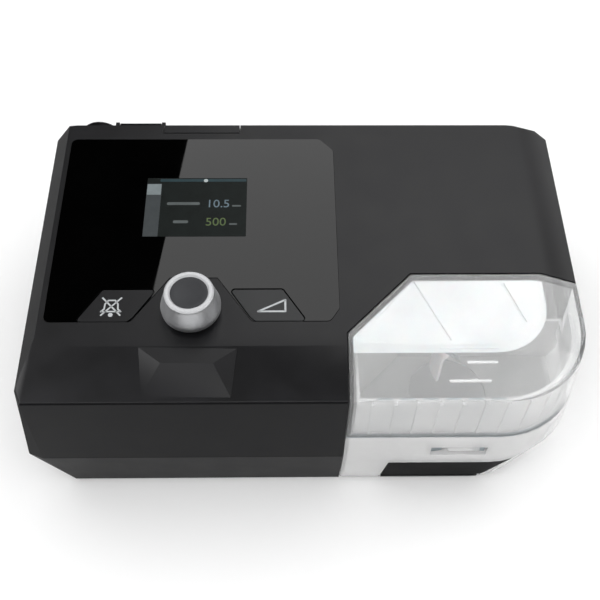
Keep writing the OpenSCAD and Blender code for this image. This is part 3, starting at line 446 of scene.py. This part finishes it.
for node in ("top_case", "bottom_case"):
    shell = mergedCopy(node, node + "_shell")
    bevelEdges(shell, caseEase["belt"], 9, segments=3, test=onBelt)
    bevelEdges(shell, caseEase["seam"], 40, segments=2, test=onSeam)
    if node == "top_case":
        bevelEdges(shell, caseEase["podium"], 9, segments=3, test=onPodium)
    finishNode(smooth(shell, 25), node)
for node in ("bay_liner", "chamber_platform"):
    finishNode(smooth(mergedCopy(node, node + "_wall")), node)
print("case made")


tub = {"ease": 0.3, "collarTop": 92, "collarIn": 3.8, "ribFirst": 29.4, "ribPitch": 10.5, "ribs": 6}
lid = {"ease": 0.7, "wall": 2.1, "ribs": [(73.1, 87.4, 18.6), (64.7, 83.9, 10.4)], "ribW": 1.3}
baffle = {"ease": 0.3, "top": deckZ - 2.3, "grooveW": 1.7, "grooveD": 1.1,
          "grooves": [((51.2, 61.5), (66, 28.6)), ((94.4, 60.5), (102.4, 38.5))],
          "openFronts": [(10, 62), (68.2, 140)], "openTo": 46, "openTop": 92}
frosted = clearPolycarbonate("polycarbonate_clear_frosted", "#f2f2f2", "#fafafa", 0.62, 0.04)

tubPiece = mergedCopy("chamber_tub", "chamber_tub_moulding")
bevelEdges(tubPiece, tub["ease"], 28)
finishNode(smooth(tubPiece, 35), "chamber_tub", frosted)

lidPiece = mergedCopy("chamber_lid", "chamber_lid_moulding")
bevelEdges(lidPiece, lid["ease"], 28)
finishNode(smooth(lidPiece, 35), "chamber_lid")


def barBetween(name, a, b, width, low, high):
    # a straight bar from one point to another, seen from above
    side = (Vector(b) - Vector(a)).normalized().orthogonal() * (width / 2)
    corners = [Vector(a) + side, Vector(a) - side, Vector(b) - side, Vector(b) + side]
    return prism(name, [(p.x, p.y) for p in corners], low, high)


bafflePiece = mergedCopy("chamber_baffle", "chamber_baffle_moulding")
for start, end in baffle["grooves"]:
    cut(bafflePiece, barBetween("groove", start, end, baffle["grooveW"],
                                baffle["top"] - baffle["grooveD"], baffle["top"] + 1))
for left, right in baffle["openFronts"]:
    cut(bafflePiece, block("open_front", left, right, 0, baffle["openTo"], 50, baffle["openTop"]))
bevelEdges(bafflePiece, baffle["ease"], 28)
finishNode(smooth(bafflePiece, 35), "chamber_baffle")

# the tab at the plate's front edge, with a strut that runs down from it
strutStart, strutEnd, strutFall = (61.4, 26.2), (71.6, 25.2), 0.85
tab = block("baffle_tab", 61, 88.7, 24.6, 29, 101.9, 103.5)
bevelEdges(tab, 0.6, 40)
addTo(smooth(tab), "chamber_baffle", finishes["white_plastic"])
strut = barBetween("baffle_strut", strutStart, strutEnd, 1.5, 101, 102.6)
for vertex in strut.data.vertices:
    x, y, z = across(vertex.co)
    vertex.co = place(x, y, z - (x - strutStart[0]) * strutFall)
addTo(smooth(strut), "chamber_baffle", finishes["seal_rubber"])

# two stiffening ribs under the lid's front bevel
for k, (x0, x1, y) in enumerate(lid["ribs"]):
    z = beltZ + frontBevel["drop"] * y / frontBevel["deep"] - lid["wall"]
    rib = block("lid_rib_%d" % (k + 1), x0, x1, y - lid["ribW"] / 2, y + lid["ribW"] / 2, z - 1.0, z)
    bevelEdges(rib, 0.3, 40)
    addTo(smooth(rib), "chamber_lid", frosted)

# the bar that the fingers pull, with a dark pad at each end of its pocket as painted shade where the pocket
# runs deeper
gripBar = block("grip_bar", 70.4, 86.9, 0.7, 3.0, 42.9, 46.2)
bevelEdges(gripBar, 0.9, 40, segments=3)
addTo(smooth(gripBar), "chamber_tub", frosted)
for name, tip, root in (("grip_pocket_shade_left", 62.6, 68.1), ("grip_pocket_shade_right", 89.4, 83.9)):
    pocketShadePad = prism(name, [(tip, 1.4), (root, 2.2), (root, 4.4), (tip, 4.4)], 41.6, 47.4)
    bevelEdges(pocketShadePad, 0.5, 40)
    addTo(smooth(pocketShadePad), "chamber_tub", finishes["seal_rubber"])

gasketPiece = mergedCopy("chamber_gasket", "chamber_gasket_ring")
finishNode(smooth(gasketPiece, 35), "chamber_gasket")

# dashes of seal along the top of the splash collar, between its ribs
seal = {"fromRib": 2.4, "long": tub["ribPitch"] - 3.4, "near": 0.2, "far": 1.3, "thick": 0.7}
for k in range(tub["ribs"]):
    x0 = tub["ribFirst"] + tub["ribPitch"] * k + seal["fromRib"]
    dash = block("collar_seal_%d" % (k + 1), x0, x0 + seal["long"], tub["collarIn"] + seal["near"],
                 tub["collarIn"] + seal["far"], tub["collarTop"], tub["collarTop"] + seal["thick"])
    bevelEdges(dash, 0.25, 40)
    addTo(smooth(dash), "chamber_gasket", finishes["seal_rubber"])

latchPiece = mergedCopy("latch_bar", "latch_bar_moulding")
bevelEdges(latchPiece, 0.5, 28)
finishNode(smooth(latchPiece, 35), "latch_bar")
print("chamber made")


panelTop = deckZ + 0.3
buttonTop = deckZ + 0.2
panel = mergedCopy("control_panel", "control_panel_glass")
bevelEdges(panel, 0.3, 40, segments=2, test=lambda a, b: min(a[2], b[2]) > panelTop - 0.05)
finishNode(smooth(panel, 25), "control_panel")
for node in ("mute_button", "ramp_button"):
    button = mergedCopy(node, node + "_cap")
    bevelEdges(button, 0.4, 40, segments=3, test=lambda a, b: min(a[2], b[2]) > buttonTop - 0.05)
    finishNode(smooth(button, 25), node)
knob = mergedCopy("knob_body", "knob_body_turned")
finishNode(smooth(knob, 30), "knob_body")
insert = mergedCopy("knob_insert", "knob_insert_disc")
finishNode(smooth(insert, 40), "knob_insert")
print("controls made")


screen = {"left": -80.1, "right": -29.2, "front": 87.4, "back": 125.0, "film": 0.06, "dots": 0.03,
          "figuresX": -49.6, "figuresH": 4.9}
filmTop = panelTop + screen["film"]


def roundedBar(name, x0, x1, y0, y1, low, high, radius):
    piece = block(name, x0, x1, y0, y1, low, high)
    bevelEdges(piece, radius, 40, segments=4, test=lambda a, b: abs(a[2] - b[2]) > (high - low) / 2)
    return piece


def written(name, figures, x, y, height, low, thick):
    # plain figures turned to a thin mesh, its left end on the line at x, y
    deselectAll()
    bpy.ops.object.text_add()
    text = bpy.context.active_object
    text.data.body = figures
    text.data.size = height / 1000 / 0.7  # figures stand 0.7 of the letter size high
    text.data.extrude = thick / 2000
    bpy.ops.object.convert(target="MESH")
    piece = named(name)
    piece.data.transform(Matrix.Translation(place(x, y, low + thick / 2)))
    return piece


def onScreen(piece, material):
    addTo(piece, "display_module", material)


film = roundedBar("screen_film", screen["left"], screen["right"], screen["front"], screen["back"],
                  panelTop, filmTop, 0.4)
onScreen(film, displayFilm())
greyDots = lit("screen_grey", "#34393b", "#3a3f41")
paleDots = lit("screen_pale", "#717a7c", "#7c8587")
wordDots = lit("screen_label_grey", "#4a5050", "#555b5b")
tealDots = lit("screen_teal", "#142d33", "#1a363c")
blueDots = lit("screen_blue_grey", "#5a6b75", "#687a84")
greenDots = lit("screen_green", "#4a5a34", "#55663c")
whiteDot = lit("screen_white", "#a3abab", "#b2baba")
dotsTop = filmTop + screen["dots"]


def shown(name, material, x0, x1, y0, y1, radius=0.2, low=filmTop):
    onScreen(roundedBar(name, x0, x1, y0, y1, low, low + screen["dots"], radius), material)


shown("screen_gauge", greyDots, -80.0, -72.6, 87.5, 121.2)
shown("screen_gauge_level", paleDots, -79.9, -72.8, 114.0, 121.0, low=dotsTop)
shown("screen_top_line", tealDots, -73.5, -29.6, 122.6, 124.4)
deselectAll()
bpy.ops.mesh.primitive_cylinder_add(vertices=32, radius=0.0011, depth=screen["dots"] / 1000,
                                    location=place(-50.3, 123.3, dotsTop + screen["dots"] / 2))
dot = named("screen_dot")
bpy.ops.object.transform_apply(location=True, rotation=True, scale=True)
bevelEdges(dot, 0.02, 40, segments=2)
onScreen(dot, whiteDot)
rows = [{"y": 108.2, "label": (-69.3, -52.7), "figures": "10.5", "unit": (-36.5, -32.0), "dots": blueDots},
        {"y": 96.6, "label": (-65.6, -58.0), "figures": "500", "unit": (-37.7, -33.7), "dots": greenDots}]
for k, row in enumerate(rows):
    shown("screen_label_%d" % (k + 1), wordDots, *row["label"], row["y"] - 0.9, row["y"] + 0.9, 0.8)
    shown("screen_unit_%d" % (k + 1), wordDots, *row["unit"], row["y"] - 2.0, row["y"] - 1.0, 0.45)
    figures = written("screen_figures_%d" % (k + 1), row["figures"], screen["figuresX"], row["y"] - 2.4,
                      screen["figuresH"], filmTop, screen["dots"])
    onScreen(figures, row["dots"])
print("screen made")


signInk = ink("ink_light_grey", "#9c9fa1", "#a9acae")
sign = {"thick": 0.04, "line": 0.75, "rampLine": 0.9, "bellX": -91.2, "bellY": 46.4}


def stroke(name, points, width, node, closed=False):
    # a printed line of even width through a few points
    top = buttonTop + sign["thick"]
    parts = []
    for a, b in zip(points, points[1:] + (points[:1] if closed else [])):
        parts.append(barBetween("part", a, b, width, buttonTop, top))
        parts.append(turned("part", *b, [(width / 2, buttonTop), (width / 2, top - sign["thick"] / 10)], 12))
    addTo(joined(name, parts), node, signInk)


def bellStroke(name, points, closed=False):
    # a line of the bell, with its points measured from the bell's middle
    points = [(sign["bellX"] + x, sign["bellY"] + y) for x, y in points]
    stroke(name, points, sign["line"], "mute_button", closed)


stroke("ramp_sign", [(-22.6, 43.6), (-9.9, 50.0), (-9.9, 43.6)], sign["rampLine"], "ramp_button", True)
bellStroke("mute_sign_bell", [(-4.6, -2.6), (-3.2, -1.2), (-3.0, 1.6), (-1.6, 3.6),
                              (1.6, 3.6), (3.0, 1.6), (3.2, -1.2), (4.6, -2.6)], True)
bellStroke("mute_sign_slash", [(-4.6, 5.2), (4.4, -4.6)])
bellStroke("mute_sign_cross", [(4.6, 5.2), (-4.4, -4.6)])
clapper = turned("mute_sign_clapper", sign["bellX"], sign["bellY"] - 4.4,
                 [(1.1, buttonTop), (1.0, buttonTop + sign["thick"])], 24)
addTo(clapper, "mute_button", signInk)
print("signs made")


bpy.ops.mesh.primitive_plane_add(size=8, location=(0, 0.6, -0.0002))
floor = named("floor")
floorMaterial, floorTree, floorShader, floorPlace = newMaterial("paper_matte_white")
floorTree.links.new(ramp(floorTree, grainOf(floorTree, floorPlace, 400), "#f3f3f3", "#f7f7f7"),
                    floorShader.inputs["Base Color"])
floorShader.inputs["Roughness"].default_value = 0.9
floorShader.inputs["Specular IOR Level"].default_value = 0.1
floor.data.materials.append(floorMaterial)


def softbox(name, spot, aim, size, radiance, mirrored=True, lights=True):
    # a soft panel of light; its power follows from how bright its face looks
    # a fill isn't mirrored, and a card that is there for its reflection alone lights nothing
    bpy.ops.object.light_add(type="AREA", location=spot)
    lamp = bpy.context.active_object
    lamp.name = name
    lamp.rotation_euler = (Vector(aim) - Vector(spot)).to_track_quat("-Z", "Y").to_euler()
    lamp.data.shape = "RECTANGLE"
    lamp.data.size, lamp.data.size_y = size
    lamp.data.energy = radiance * math.pi * size[0] * size[1]
    lamp.visible_glossy = mirrored
    lamp.visible_diffuse = lights
    lamp.visible_transmission = lights
    return lamp


softbox("overhead_fill", (0, -0.1, 1.9), (0, -0.1, 0), (4.4, 3.8), 1.95, mirrored=False)
softbox("front_fill", (0, -1.6, 0.6), (0, 0, 0.1), (2.4, 0.9), 1.2, mirrored=False)
backCard = softbox("back_card", (0.3326, 0.835, 1.2), (0.3326, 0.835, 0), (1.14, 1.0), 13.5, lights=False)
backCard.rotation_euler = (0, 0, math.radians(-6.6))  # its left edge gives the panel's slanting line of light
softbox("front_card", (-0.05, -0.8, 1.15), (0, -0.05, 0.08), (1.5, 0.5), 15, lights=False)
softbox("left_card", (-0.95, 0.05, 0.85), (-0.1, 0, 0.1), (1.2, 0.8), 20, lights=False)
softbox("right_card", (1.05, -0.2, 0.85), (0.1, 0, 0.1), (0.9, 0.8), 22, lights=False)
softbox("right_back_card", (1.25, 1.0, 0.62), (0.12, 0.05, 0.1), (0.9, 0.8), 7, lights=False)

world = bpy.data.worlds.new("studio_dark")
bpy.context.scene.world = world
world.use_nodes = True
world.node_tree.nodes["Background"].inputs["Color"].default_value = (0.02, 0.02, 0.02, 1)
bpy.context.scene.view_settings.view_transform = "Standard"

cameraSpec = {"spot": (-10.261, -193.241, 474.772), "turn": 1.711, "dip": 56.549, "roll": 1.223,
              "lens": 56.28}
cameraData = bpy.data.cameras.new("camera")
camera = bpy.data.objects.new("camera", cameraData)
bpy.context.scene.collection.objects.link(camera)
cameraData.lens = cameraSpec["lens"]
cameraData.sensor_width = 36
cameraData.clip_start = 0.01
turn, dip, roll = (math.radians(cameraSpec[k]) for k in ("turn", "dip", "roll"))
camera.matrix_world = (Matrix.Translation(place(*cameraSpec["spot"])) @ Matrix.Rotation(-turn, 4, "Z")
                       @ Matrix.Rotation(math.pi / 2 - dip, 4, "X") @ Matrix.Rotation(roll, 4, "Z"))
bpy.context.scene.camera = camera
print("studio made")
